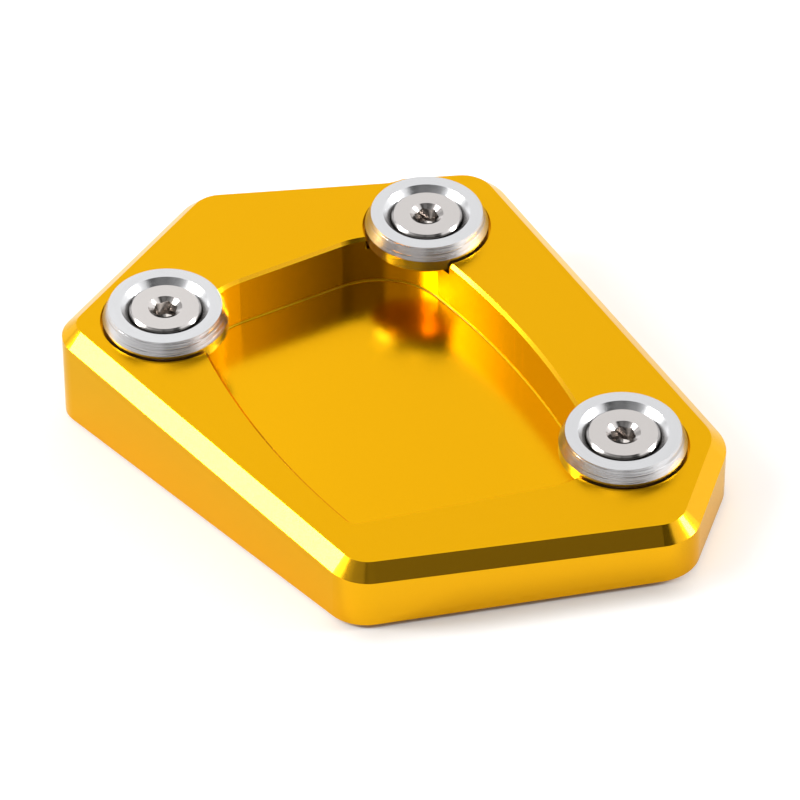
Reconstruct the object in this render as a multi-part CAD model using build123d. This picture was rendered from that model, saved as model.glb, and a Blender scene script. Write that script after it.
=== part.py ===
from build123d import *
import math
import os

# Kickstand foot enlarger: a wedge plate with a pocket for the foot of the stand, and three
# washers that hold the foot down, each with one hexagon socket screw.
# Millimetres and degrees. The pieces are made with the plate's top face at Z = 0 and the axis
# of the back screw at X = Y = 0, and tilted onto the plate's ground face at the end.

# Plate
wedge_angle = 5.0            # between the top face and the ground face
thickness_at_back = 14.26    # top face to ground face, along the back screw
rim_bevel = 2.0              # 45 degree bevel all round the top face
plate_length = 93.6          # Y from the apex to the front of the nose, corners sharp
plate_width = 68.19          # X from the back left to the back right, corners sharp

# Corners of the plate's outline: X, Y and outer corner radius
apex = (-23.8, 22.86, 6.2)
step_start = (0.66, 12.47, 2.8)
step_end = (2.64, 12.37, 2.8)
back_right = (13.98, 7.51, 6.5)
nose_right = (13.79, -56.9, 7.0)
nose_front = (-0.38, apex[1] - plate_length, 6.2)
front_left = (-43.16, -56.29, 5.9)
back_left = (back_right[0] - plate_width, 6.33, 5.0)
plate_corners = (apex, step_start, step_end, back_right, nose_right, nose_front, front_left, back_left)

# Pocket for the foot
pocket_depth = 7.55
pocket_back = 2.17           # Y of the straight back wall
pocket_left = -39.95         # X where the left wall bows out furthest
pocket_right = 0.0           # X where the right wall bows out furthest
pocket_side_radius = 113.3   # both side walls are shallow arcs
pocket_side_centre = -26.54  # Y of the middle of both arcs
pocket_front = -47.32        # Y of the front wall at its left end
pocket_front_slant = 13.3    # the front wall falls away to the right by this angle
pocket_back_corner = 10.4
pocket_front_corner_left = 1.4
pocket_front_corner_right = 8.0
pocket_edge_break = 0.42
pocket_foot_radius = 0.25    # where the walls run into the floor
edge_match = 0.01            # edges whose middles are closer than this are the same edge

# Screws, hexagon socket with a conical underside
screw_diameter = 5.0
screw_length = 8.0           # over all
screw_tip_chamfer = 0.7
head_diameter = 9.8
head_bevel = 0.35
head_sunk = 0.28             # head's top below the washer's top
socket_across_flats = 3.0
socket_mouth = 4.6           # diameter of the countersunk mouth of the socket
socket_mouth_angle = 120.0
socket_depth = 2.55
cone_angle = 90.0            # of the heads and of the washers' seats

# Washers
washer_diameter = 17.0
washer_thickness = 4.25
washer_flat_diameter = 15.36 # flat ring on top
washer_cone_height = 1.84    # steep cone from the flat ring down to the full diameter
washer_foot_chamfer = 0.8
washer_seat_mouth = 11.96    # countersink at the top
washer_hole_clearance = 0.3  # around the screw, on the radius

# Seats and tapped holes in the plate, one set for each washer
seat_depth = 1.84
seat_clearance = 0.33        # around the washer, on the radius
thread_clearance = 0.05      # around the screw, on the radius
hole_clearance = 0.3         # between the screw's tip and the end of the hole
seat_overrun = 1.0           # the seat's cut starts above the top face
drill_point_angle = 118.0

# Axes of the clamps
clamps = {"back": (0.0, 0.0), "left": (-40.38, 0.0), "right": (0.33, -51.8)}
socket_turns = {"back": 20.0, "left": 50.0, "right": 15.0}   # the screws stop at their own angles

washer_top = washer_thickness - seat_depth
head_top = washer_top - head_sunk


def corner_at(sketch, x, y):
    return sketch.vertices().sort_by_distance(Vector(x, y, 0))[0]


def plate_outline():
    sketch = make_face(Polyline([(x, y) for x, y, radius in plate_corners], close=True))
    for x, y, radius in plate_corners:
        sketch = fillet(corner_at(sketch, x, y), radius)
    return sketch


def ground_plane():
    tilt = math.radians(wedge_angle)
    return Plane(origin=(0, 0, -thickness_at_back), z_dir=(0, math.sin(tilt), math.cos(tilt)))


def wedge_blank():
    wedge = math.tan(math.radians(wedge_angle))
    depth = thickness_at_back + plate_length * wedge
    blank = extrude(plate_outline(), amount=depth, dir=(0, 0, -1))
    blank = chamfer(blank.edges().group_by(Axis.Z)[-1], rim_bevel)
    return split(blank, bisect_by=ground_plane(), keep=Keep.TOP)


def front_wall_y(x):
    return pocket_front - (x - pocket_left) * math.tan(math.radians(pocket_front_slant))


def pocket_outline():
    # the two side arcs and the band between the back wall and the front wall
    left = Pos(pocket_left + pocket_side_radius, pocket_side_centre) * Circle(pocket_side_radius)
    right = Pos(pocket_right - pocket_side_radius, pocket_side_centre) * Circle(pocket_side_radius)
    x0 = pocket_left - pocket_back_corner
    x1 = pocket_right + pocket_back_corner
    ends = [(x0, pocket_back), (x1, pocket_back), (x1, front_wall_y(x1)), (x0, front_wall_y(x0))]
    sketch = left & right & make_face(Polyline(ends, close=True))
    corners = sketch.vertices().sort_by(Axis.X)
    back = sorted(corners, key=lambda v: -v.Y)[:2]
    front = sorted([v for v in corners if v not in back], key=lambda v: v.X)
    radii = [(back[0], pocket_back_corner), (back[1], pocket_back_corner)]
    radii += [(front[0], pocket_front_corner_left), (front[1], pocket_front_corner_right)]
    for corner, radius in radii:
        sketch = fillet(corner_at(sketch, corner.X, corner.Y), radius)
    return sketch


def with_pocket(plate):
    cut = extrude(pocket_outline(), amount=pocket_depth, dir=(0, 0, -1))
    cut = fillet(cut.edges().group_by(Axis.Z)[0], pocket_foot_radius)
    plate = plate - cut
    rim = cut.edges().group_by(Axis.Z)[-1]
    mouth = [e for e in plate.edges().group_by(Axis.Z)[-1]
             if min((e.center() - r.center()).length for r in rim) < edge_match]
    return chamfer(mouth, pocket_edge_break)


def seat_cut():
    radius = washer_diameter / 2 + seat_clearance
    return Pos(0, 0, -seat_depth) * Cylinder(radius, seat_depth + seat_overrun,
                                             align=(Align.CENTER, Align.CENTER, Align.MIN))


def tapped_hole_cut():
    radius = screw_diameter / 2 + thread_clearance
    bottom = head_top - screw_length - hole_clearance
    point = radius / math.tan(math.radians(drill_point_angle / 2))
    profile = make_face(Polyline([(0, 0), (radius, 0), (radius, bottom), (0, bottom - point)], close=True))
    return revolve(Plane.XZ * profile, Axis.Z)


def base_plate():
    plate = with_pocket(wedge_blank())
    for x, y in clamps.values():
        plate = plate - Pos(x, y) * seat_cut()
        plate = plate - Pos(x, y) * tapped_hole_cut()
    return plate


def cone_drop(outer, inner):
    return (outer - inner) / math.tan(math.radians(cone_angle / 2))


def clamp_washer():
    outer = washer_diameter / 2
    flat = washer_flat_diameter / 2
    mouth = washer_seat_mouth / 2
    hole = screw_diameter / 2 + washer_hole_clearance
    top = washer_top
    foot = -seat_depth
    section = [(hole, foot), (outer - washer_foot_chamfer, foot), (outer, foot + washer_foot_chamfer),
               (outer, top - washer_cone_height), (flat, top), (mouth, top),
               (hole, top - cone_drop(mouth, hole))]
    return revolve(Plane.XZ * make_face(Polyline(section, close=True)), Axis.Z)


def socket_cut():
    # hexagon with a countersunk mouth and a drilled bottom
    across_corners = socket_across_flats / math.cos(math.radians(30))
    hexagon = extrude(RegularPolygon(across_corners / 2, 6), amount=socket_depth, dir=(0, 0, -1))
    flats = socket_across_flats / 2
    mouth = socket_mouth / 2
    drop = (mouth - flats) / math.tan(math.radians(socket_mouth_angle / 2))
    cone = make_face(Polyline([(0, 0), (mouth, 0), (flats, -drop), (0, -drop)], close=True))
    point = flats / math.tan(math.radians(drill_point_angle / 2))
    drill = make_face(Polyline([(0, -socket_depth), (flats, -socket_depth),
                                (0, -socket_depth - point)], close=True))
    return hexagon + revolve(Plane.XZ * cone, Axis.Z) + revolve(Plane.XZ * drill, Axis.Z)


def clamp_screw(socket_turn):
    head = head_diameter / 2
    shank = screw_diameter / 2
    mouth = washer_seat_mouth / 2
    cone_top = washer_top - cone_drop(mouth, head)
    cone_end = washer_top - cone_drop(mouth, shank)
    tip = head_top - screw_length
    section = [(0, tip), (shank - screw_tip_chamfer, tip), (shank, tip + screw_tip_chamfer),
               (shank, cone_end), (head, cone_top), (head, head_top - head_bevel),
               (head - head_bevel, head_top), (0, head_top)]
    body = revolve(Plane.XZ * make_face(Polyline(section, close=True)), Axis.Z)
    return body - Pos(0, 0, head_top) * Rot(0, 0, socket_turn) * socket_cut()


def onto_ground(plate):
    # the placement that lays the ground face on Z = 0 with the plate's box centred on X = Y = 0
    tilt = Rot(wedge_angle, 0, 0)
    box = (tilt * plate).bounding_box()
    return Pos(-box.center().X, -box.center().Y, -box.min.Z) * tilt


nodes = {"base_plate": base_plate()}
placement = onto_ground(nodes["base_plate"])
for side, (x, y) in clamps.items():
    nodes["clamp_washer_" + side] = Pos(x, y) * clamp_washer()
    nodes["clamp_screw_" + side] = Pos(x, y) * clamp_screw(socket_turns[side])

os.makedirs("parts", exist_ok=True)
for name, shape in nodes.items():
    export_step(placement * shape, "parts/" + name + ".step")
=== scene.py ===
import math

import bpy
from mathutils import Matrix, Vector

# Kickstand foot enlarger: finishes, floor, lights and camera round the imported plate, washers and screws.
# Lengths are in millimetres and turned into metres where Blender takes them. Angles are in degrees.
# The top face's frame lies in the plate's tilted top face, with its Z along the screws.
# A name that ends in BORDER is a soft border: 0 up to its first number, 1 from its second on.
MM = 0.001
WEDGE_ANGLE = 5.0
LEVEL_BORDER = (0.9, 0.97)               # how far a face that counts as level looks up

# Where each screw's axis meets the plate's top face, in the row frame
CLAMPS = {
    "back": (19.8467, 22.9497, 14.2058),
    "left": (-20.5333, 22.9497, 14.2058),
    "right": (20.1767, -28.6532, 9.6911),
}

# Plate: colours of its anodised faces, with painted light on the pocket's walls and painted shade along
# their foot
GOLD_OUTSIDE = (0.90, 0.455, 0.002, 1)
GOLD_WALL_PAINTED_LIGHT = (0.89, 0.64, 0.008, 1)       # painted light: a paler, brighter copy of the gold on the pocket's walls
GOLD_DEEP = (0.85, 0.42, 0.002, 1)       # the clouds in the colour
GOLD_FOOT_SHADE = (0.45, 0.24, 0.001, 1)       # painted shade along the line where the walls run into the pocket's floor
GOLD_EDGE = (1, 0.93, 0.6, 1)            # seen along the surface
CLOUD_SCALE = 0.05
CLOUD_SHARE = 0.3
FOOT_SHADE_SHARE = 0.8

# Plate: places of its finishes in the top face's frame, from the back screw's axis
POCKET_X = (-41.3, 1.3)
POCKET_Y = (-58.0, 3.0)
POCKET_SOFT = 0.2
POCKET_FRONT_SLANT = 0.29                # Y that the pocket's front falls away for each mm of X
POCKET_FRONT_BORDER = (-65.0, -63.0)
POCKET_MOUTH_BORDER = (-0.45, -0.35)
FOOT_BORDER = (-7.35, -7.25)
BEVEL_UP = (0.6, 0.8)                    # how far the rim's bevel looks up
BEVEL_SOFT = 0.1

# Plate: gloss and relief
GOLD_ROUGHNESS = 0.17
GRAIN_ROUGHNESS = 0.08
TOP_ROUGHNESS = 0.12
FOOT_ROUGHNESS = 0.35
COAT = 0.03
COAT_ON_WALLS = 0.09
COAT_ON_BEVEL = 0.16
COAT_ROUGHNESS = 0.12
GRAIN = (7.0, 3.0, 0.65)                 # the noise's scale, detail and roughness
CUTTER_LINES = (5.0, 3.0, 0.6)
LINE_STRETCH = 0.02                      # the lines of the cutter run far down the walls
LINE_HEIGHT = 0.6
CUTTER_MARKS = (-24.05, -26.2)           # Y of the two upright marks
MARK_X_BORDER = (-3.0, -2.5)
MARK_WIDTH = 0.16
MARK_HEIGHT = 0.8
PLATE_RELIEF = 0.006
BOW_X = (-30.0, -12.0)
BOW_FACING_BORDER = (0.9, 0.995)
BACK_WALL_BOW = 0.11

# Washers and screws: metal, roughness and depth of the turning lines
WASHER = ((0.74, 0.745, 0.76, 1), 0.2, 0.016)
SCREW = ((0.66, 0.625, 0.605, 1), 0.14, 0.002)
TURNED_SHADE = (0.6, 0.58, 0.58, 1)
TURNED_GROOVE = (0.4, 0.38, 0.375, 1)
# painted shade in the gap between the head and the washer
GAP_PAINTED_SHADE = (0.16, 0.15, 0.14, 1)
# painted shade inside the socket
SOCKET_PAINTED_SHADE = (0.55, 0.515, 0.49, 1)

# Turning lines: drift on the way round, lines across, the noise's detail and roughness
FINE_LINES = (0.1, 4.0, 3.0, 0.7)
BROAD_LINES = (0.15, 1.0, 2.0, 0.5)
GROOVES = (0.12, 2.2, 1.0, 0.5)
LINES_PER_HEIGHT = 2.0                   # a line is crossed sooner going up than going out
FINE_SHARE = 0.6
BROAD_SHARE = 0.4
BROAD_ROUGHNESS = 0.15
BROAD_MIDDLE = 0.3
GROOVE_BORDER = (0.56, 0.66)
GROOVE_SHARE = 0.6
GROOVE_DEPTH = 0.5
OUTER_BORDER = (6.8, 7.4)                # radius where the washer's outer side starts
FADE_ON_FLATS = 0.75
FADE_INSIDE = 0.7

# Painted shade in the gap between head and washer and in the socket, and the socket's mouth: radii from
# the axis, heights over the top face
GAP = (4.78, 5.08)
GAP_SHADE_SHARE = 0.9
SOCKET_BORDER = (2.0, 2.1)
SOCKET_TOP_BORDER = (1.3, 1.75)
MOUTH = (1.5, 2.35)
MOUTH_FOOT_BORDER = (1.55, 1.65)
MOUTH_BACK_BORDER = (-0.3, 0.3)
RING_SOFT = 0.1
MOUTH_LEAN = 0.37

# Room: from and to azimuth, measured from the row's +Y towards +X, from and to elevation, and
# brightness, where 1 is white
ROOM_LIGHT = 0.085
PANEL_SOFT = 6.0
PANELS = (
    (-62, 88, -10, 17, 1.35),
    (28, 90, 16, 34, 0.85),
    (88, 158, -10, 48, 1.18),
    (95, 150, -10, 14, 1.2),
    (-108, -38, 18, 62, 0.5),
    (-84, -46, 28, 48, 2.0),
    (-86, -60, 39, 52, 7.0),
    (-60, -38, 38, 52, 1.0),
    (-52, 30, 16, 32, 0.6),
    (-150, -62, -10, 18, 0.4),
    (-36, 2, 34, 60, 0.97),
    (2, 28, 32, 60, 1.42),
    (28, 58, 32, 60, 1.15),
    (-150, -60, 58, 100, 1.8),
    (-180, 180, 74, 100, 1.25),
    (-186, -150, 38, 72, 0.18),
    (168, 186, 50, 72, 0.6),
    (-145, -108, 26, 46, 0.35),
)

# Lamps: azimuth, elevation, width, height and brightness
LAMP_DISTANCE = 1000.0
LAMPS = {"left_lamp": (-62, 30, 240.0, 200.0, 25.0), "right_lamp": (118, 24, 240.0, 200.0, 26.0)}
WATTS_PER_WHITE = 4                      # from each square metre of a lamp

# Floor, and the painted shadow along the plate's front wall
FLOOR_REACH = 4000.0
FLOOR_DROP = 0.6
FLOOR_MATT = (0.8, 0.8, 0.8, 1)
FLOOR_WHITENESS = 0.27
FLOOR_GLOW = 0.1
FRONT_WALL_SLANT = 0.338
FRONT_WALL_Y = -40.0
SHADOW_DEPTH = (-3.0, 3.5)
SHADOW_DEPTH_SOFT = 5.0
SHADOW_X = (-24.0, 18.0)
SHADOW_X_SOFT = 8.0
WHITE = (1, 1, 1, 1)
BLACK = (0, 0, 0, 1)

# Camera
PHOTO_SIDE = 800
CAMERA_PLACE = (-271.12, -529.33, 455.06)
CAMERA_RIGHT = (0.872384, -0.486976, -0.042433)
CAMERA_UP = (0.323281, 0.509661, 0.797330)
LENS = 250.29
SENSOR = 36.0
NEAREST = 10.0
FARTHEST = 20000.0


class Value:
    """One output of a node. Operators on it add Math nodes."""

    def __init__(self, shader, made, output):
        self.shader = shader
        self.made = made
        self.socket = made.outputs[output]

    def other(self, output):
        return Value(self.shader, self.made, output)

    def maths(self, operation, *values):
        return self.shader.node("ShaderNodeMath", {"operation": operation}, dict(enumerate(values)))

    def __add__(self, other):
        return self.maths("ADD", self, other)

    def __radd__(self, other):
        return self.maths("ADD", other, self)

    def __sub__(self, other):
        return self.maths("SUBTRACT", self, other)

    def __rsub__(self, other):
        return self.maths("SUBTRACT", other, self)

    def __mul__(self, other):
        return self.maths("MULTIPLY", self, other)

    def __rmul__(self, other):
        return self.maths("MULTIPLY", other, self)

    def __truediv__(self, other):
        return self.maths("DIVIDE", self, other)

    def __pow__(self, other):
        return self.maths("POWER", self, other)


class Shader:
    """The nodes of one material or of the room's light."""

    def __init__(self, owner):
        owner.use_nodes = True
        self.tree = owner.node_tree
        self.tree.nodes.clear()

    def node(self, kind, settings=None, sockets=None, output=0):
        made = self.tree.nodes.new(kind)
        for name, setting in (settings or {}).items():
            setattr(made, name, setting)
        for name, given in (sockets or {}).items():
            if isinstance(given, Value):
                self.tree.links.new(given.socket, made.inputs[name])
            else:
                made.inputs[name].default_value = given
        return Value(self, made, output) if made.outputs else None

    def parts(self, vector):
        split = self.node("ShaderNodeSeparateXYZ", None, {0: vector})
        return split, split.other(1), split.other(2)

    def together(self, x, y, z):
        return self.node("ShaderNodeCombineXYZ", None, {0: x, 1: y, 2: z})

    def noise(self, vector, scale, detail=2.0, roughness=0.5):
        sockets = {"Vector": vector, "Scale": scale, "Detail": detail, "Roughness": roughness}
        return self.node("ShaderNodeTexNoise", None, sockets)

    def step(self, value, border):
        # 0 up to the border's first number, 1 from its second on, smooth between
        low, high = border
        smooth = {"interpolation_type": "SMOOTHSTEP"}
        return self.node("ShaderNodeMapRange", smooth, {0: value, 1: low, 2: high})

    def between(self, value, limits, soft):
        # 1 between the limits, with soft borders of this width on them
        low, high = limits
        half = soft / 2
        above = self.step(value, (low - half, low + half))
        return above * (1 - self.step(value, (high - half, high + half)))

    def ridge(self, value, place, width):
        # 1 on a thin line at this place, 0 beside it
        return 1 - self.step(((value - place) ** 2) ** 0.5, (0, width))

    def mixed(self, share, first, second):
        return self.node("ShaderNodeMix", {"data_type": "RGBA"}, {0: share, 6: first, 7: second}, 2)

    def bump(self, height, depth, normal):
        sockets = {"Height": height, "Distance": depth * MM, "Normal": normal}
        return self.node("ShaderNodeBump", None, sockets)

    def metal(self, sockets):
        finish = self.node("ShaderNodeBsdfPrincipled", None, {"Metallic": 1.0, **sockets})
        self.node("ShaderNodeOutputMaterial", None, {"Surface": finish})


def top_frame(shader, place):
    # millimetres from a point of the top face, in the top face's frame
    sockets = {"Vector": shader.node("ShaderNodeTexCoord", output="Object"),
               "Location": [c * MM for c in place],
               "Rotation": (math.radians(WEDGE_ANGLE), 0, 0), "Scale": (MM, MM, MM)}
    return shader.node("ShaderNodeMapping", {"vector_type": "TEXTURE"}, sockets)


def facing(shader, direction):
    # 1 where the surface looks in this direction of the top face's frame, 0 where it is square to it
    x, y, z = direction
    tilt = math.radians(WEDGE_ANGLE)
    tilted = (x, y * math.cos(tilt) - z * math.sin(tilt), y * math.sin(tilt) + z * math.cos(tilt))
    sockets = {0: shader.node("ShaderNodeTexCoord", output="Normal"), 1: tilted}
    return shader.node("ShaderNodeVectorMath", {"operation": "DOT_PRODUCT"}, sockets, "Value")


def looks_up(shader):
    return facing(shader, (0, 0, 1))


def leaned(shader, lean):
    # the surface's normal, leaned along this vector of the object's own frame
    spaces = {"vector_type": "VECTOR", "convert_from": "OBJECT", "convert_to": "WORLD"}
    lean = shader.node("ShaderNodeVectorTransform", spaces, {"Vector": lean})
    normal = shader.node("ShaderNodeNewGeometry", output="Normal")
    both = shader.node("ShaderNodeVectorMath", {"operation": "ADD"}, {0: normal, 1: lean})
    return shader.node("ShaderNodeVectorMath", {"operation": "NORMALIZE"}, {0: both})


def in_pocket(shader, x, y, z):
    # 1 on the pocket's walls and floor, 0 on the rest of the plate
    box = shader.between(x, POCKET_X, POCKET_SOFT) * shader.between(y, POCKET_Y, POCKET_SOFT)
    front = shader.step(y + x * POCKET_FRONT_SLANT, POCKET_FRONT_BORDER)
    return box * front * (1 - shader.step(z, POCKET_MOUTH_BORDER))


def plate_colour(shader, place, pocket_walls, foot):
    cloud = shader.noise(place, CLOUD_SCALE)
    # painted light: the pocket's walls take the paler, brighter copy of the gold
    colour = shader.mixed(pocket_walls, GOLD_OUTSIDE, GOLD_WALL_PAINTED_LIGHT)
    colour = shader.mixed(cloud * CLOUD_SHARE, colour, GOLD_DEEP)
    # painted shade along the foot of the pocket's walls
    return shader.mixed(foot * FOOT_SHADE_SHARE, colour, GOLD_FOOT_SHADE)


def cutter_lines(shader, x, y, z, pocket):
    # upright walls carry the lines of the cutter, and the pocket's right wall two marks where it came in
    lines = shader.noise(shader.together(x, y, z * LINE_STRETCH), *CUTTER_LINES)
    first, second = (shader.ridge(y, mark, MARK_WIDTH) for mark in CUTTER_MARKS)
    marks = pocket * shader.step(x, MARK_X_BORDER) * (first + second)
    return lines * LINE_HEIGHT + marks * MARK_HEIGHT


def bowed(shader, x, pocket):
    # the normal of the pocket's back wall bows a little on its way to the right corner
    start, end = BOW_X
    bow = shader.node("ShaderNodeMapRange", None, {0: x, 1: start, 2: end, 3: 0.0, 4: BACK_WALL_BOW})
    bow = bow * pocket * shader.step(facing(shader, (0, -1, 0)), BOW_FACING_BORDER)
    return leaned(shader, shader.together(bow * -1, 0.0, 0.0))


def gold_anodised():
    material = bpy.data.materials.new("gold_anodised")
    shader = Shader(material)
    place = top_frame(shader, CLAMPS["back"])
    x, y, z = shader.parts(place)
    up = looks_up(shader)
    level = shader.step(up, LEVEL_BORDER)
    pocket = in_pocket(shader, x, y, z)
    pocket_walls = pocket * (1 - level)
    # the foot of the pocket's walls: rougher, and given painted shade in its colour
    foot = pocket_walls * (1 - shader.step(z, FOOT_BORDER))
    grain = shader.noise(place, *GRAIN)
    # the top face is a little duller than the cut faces, and the bevel shines the most
    roughness = (GOLD_ROUGHNESS + (grain - 0.5) * GRAIN_ROUGHNESS
                 + level * (1 - pocket) * TOP_ROUGHNESS + foot * FOOT_ROUGHNESS)
    bevel = shader.between(up, BEVEL_UP, BEVEL_SOFT)
    coat = COAT + (1 - level) * COAT_ON_WALLS + bevel * COAT_ON_BEVEL
    height = level * grain + (1 - level) * cutter_lines(shader, x, y, z, pocket)
    shader.metal({"Base Color": plate_colour(shader, place, pocket_walls, foot),
                  "Roughness": roughness, "Specular Tint": GOLD_EDGE,
                  "Coat Weight": coat, "Coat Roughness": COAT_ROUGHNESS,
                  "Normal": shader.bump(height, PLATE_RELIEF, bowed(shader, x, pocket))})
    return material


def turning_lines(shader, x, y, across, pattern):
    # lines round the axis that come and go
    drift, density, detail, roughness = pattern
    point = shader.together(x * drift, y * drift, across * density)
    return shader.noise(point, 1.0, detail, roughness)


def with_painted_shade(shader, tone, radius, z, level):
    # painted shade: dark in the gap between the head and the washer and inside the broached socket
    gap = shader.between(radius, GAP, RING_SOFT) * (1 - level)
    tone = shader.mixed(gap * GAP_SHADE_SHARE, tone, GAP_PAINTED_SHADE)
    # painted shade inside the socket, below its mouth
    socket = (1 - shader.step(radius, SOCKET_BORDER)) * (1 - shader.step(z, SOCKET_TOP_BORDER))
    return shader.mixed(socket, tone, SOCKET_PAINTED_SHADE)


def steep_mouth(shader, x, y, z, radius, level):
    # the normal leans inwards on the back half of the socket's mouth, as on a steeper cone
    mouth = shader.between(radius, MOUTH, RING_SOFT) * shader.step(z, MOUTH_FOOT_BORDER)
    mouth = mouth * (1 - level) / radius * shader.step(y / radius, MOUTH_BACK_BORDER)
    return leaned(shader, shader.together(x * mouth * -MOUTH_LEAN, y * mouth * -MOUTH_LEAN, 0.0))


def turned(name, place, colour, roughness, line_depth):
    # turning lines all over, faint on the flat faces and inside
    material = bpy.data.materials.new(name)
    shader = Shader(material)
    x, y, z = shader.parts(top_frame(shader, place))
    radius = (x * x + y * y) ** 0.5
    across = radius + z * LINES_PER_HEIGHT
    level = shader.step(looks_up(shader), LEVEL_BORDER)
    outer = shader.step(radius, OUTER_BORDER)
    fine = turning_lines(shader, x, y, across, FINE_LINES)
    broad = turning_lines(shader, x, y, across, BROAD_LINES)
    grooves = shader.step(turning_lines(shader, x, y, across, GROOVES), GROOVE_BORDER)
    grooves = grooves * (1 - level) * outer
    strength = 1 - level * FADE_ON_FLATS - (1 - level) * (1 - outer) * FADE_INSIDE
    shade = (fine * FINE_SHARE + broad * BROAD_SHARE) * strength
    tone = shader.mixed(shade, colour, TURNED_SHADE)
    tone = shader.mixed(grooves * GROOVE_SHARE, tone, TURNED_GROOVE)
    height = (fine - grooves * GROOVE_DEPTH) * strength
    shader.metal({"Base Color": with_painted_shade(shader, tone, radius, z, level),
                  "Roughness": roughness + (broad - BROAD_MIDDLE) * BROAD_ROUGHNESS,
                  "Normal": shader.bump(height, line_depth, steep_mouth(shader, x, y, z, radius, level))})
    return material


def dress(node, material):
    node.data.materials.clear()
    node.data.materials.append(material)


def white_floor():
    material = bpy.data.materials.new("white_floor")
    shader = Shader(material)
    matt = shader.node("ShaderNodeBsdfDiffuse", None, {"Color": FLOOR_MATT})
    ray = shader.node("ShaderNodeLightPath", output="Is Camera Ray")
    # painted shadow: along the plate's front wall the floor glows less, so that the wall's shadow stays
    x, y = shader.parts(shader.node("ShaderNodeTexCoord", output="Object"))[:2]
    before = (y / MM + x / MM * FRONT_WALL_SLANT - FRONT_WALL_Y) * -1
    shadow = (shader.between(before, SHADOW_DEPTH, SHADOW_DEPTH_SOFT)
              * shader.between(x / MM, SHADOW_X, SHADOW_X_SOFT))
    strength = ray * FLOOR_WHITENESS + ray.other("Is Glossy Ray") * FLOOR_GLOW
    sockets = {"Color": shader.mixed(shadow, WHITE, BLACK), "Strength": strength}
    glow = shader.node("ShaderNodeEmission", None, sockets)
    both = shader.node("ShaderNodeAddShader", None, {0: matt, 1: glow})
    shader.node("ShaderNodeOutputMaterial", None, {"Surface": both})
    return material


def floor():
    reach = FLOOR_REACH * MM
    mesh = bpy.data.meshes.new("floor")
    corners = [(-reach, -reach, 0), (reach, -reach, 0), (reach, reach, 0), (-reach, reach, 0)]
    mesh.from_pydata(corners, [], [(0, 1, 2, 3)])
    made = bpy.data.objects.new("floor", mesh)
    made.location.z = -FLOOR_DROP * MM
    bpy.context.scene.collection.objects.link(made)
    made.data.materials.append(white_floor())


def lamp(name, azimuth, elevation, width, height, brightness):
    # brightness is what a mirror shows, and 1 is white
    light = bpy.data.lights.new(name, "AREA")
    light.shape = "RECTANGLE"
    light.size = width * MM
    light.size_y = height * MM
    light.energy = WATTS_PER_WHITE * light.size * light.size_y * brightness
    made = bpy.data.objects.new(name, light)
    turn, rise = math.radians(azimuth), math.radians(elevation)
    away = Vector((math.sin(turn) * math.cos(rise), math.cos(turn) * math.cos(rise), math.sin(rise)))
    made.location = away * LAMP_DISTANCE * MM
    made.rotation_mode = "QUATERNION"
    made.rotation_quaternion = away.to_track_quat("Z", "Y")
    made.visible_camera = False
    bpy.context.scene.collection.objects.link(made)


def room():
    # soft white panels all round the object, with darker places between them
    world = bpy.data.worlds.new("room")
    bpy.context.scene.world = world
    shader = Shader(world)
    x, y, z = shader.parts(shader.node("ShaderNodeTexCoord", output="Generated"))
    azimuth = x.maths("ARCTAN2", x, y) * math.degrees(1)
    elevation = z.maths("ARCSINE", z) * math.degrees(1)
    light = ROOM_LIGHT
    for left, right, low, high, brightness in PANELS:
        across = shader.between(azimuth, (left, right), PANEL_SOFT)
        light = light + across * shader.between(elevation, (low, high), PANEL_SOFT) * brightness
    light = shader.node("ShaderNodeBackground", None, {"Strength": light})
    shader.node("ShaderNodeOutputWorld", None, {"Surface": light})


def camera():
    data = bpy.data.cameras.new("camera")
    data.lens = LENS
    data.sensor_width = SENSOR
    # half a pixel, because pixels are counted from their middles
    data.shift_x = -0.5 / PHOTO_SIDE
    data.shift_y = 0.5 / PHOTO_SIDE
    data.clip_start = NEAREST * MM
    data.clip_end = FARTHEST * MM
    made = bpy.data.objects.new("camera", data)
    right = Vector(CAMERA_RIGHT).normalized()
    back = right.cross(Vector(CAMERA_UP)).normalized()
    turn = Matrix((right, back.cross(right), back)).transposed().to_4x4()
    made.matrix_world = Matrix.Translation(Vector(CAMERA_PLACE) * MM) @ turn
    bpy.context.scene.collection.objects.link(made)
    bpy.context.scene.camera = made


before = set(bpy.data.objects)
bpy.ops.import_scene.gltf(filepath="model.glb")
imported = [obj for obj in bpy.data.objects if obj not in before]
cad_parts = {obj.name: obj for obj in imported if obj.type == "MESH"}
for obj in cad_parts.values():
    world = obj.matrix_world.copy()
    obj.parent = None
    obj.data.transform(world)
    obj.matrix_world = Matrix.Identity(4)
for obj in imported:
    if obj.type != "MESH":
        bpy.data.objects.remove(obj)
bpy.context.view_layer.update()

dress(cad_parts["base_plate"], gold_anodised())
for side, place in CLAMPS.items():
    dress(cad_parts["clamp_washer_" + side], turned("turned_washer_" + side, place, *WASHER))
    dress(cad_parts["clamp_screw_" + side], turned("screw_" + side, place, *SCREW))

floor()
for name, values in LAMPS.items():
    lamp(name, *values)
room()
camera()
bpy.context.scene.view_settings.view_transform = "Standard"
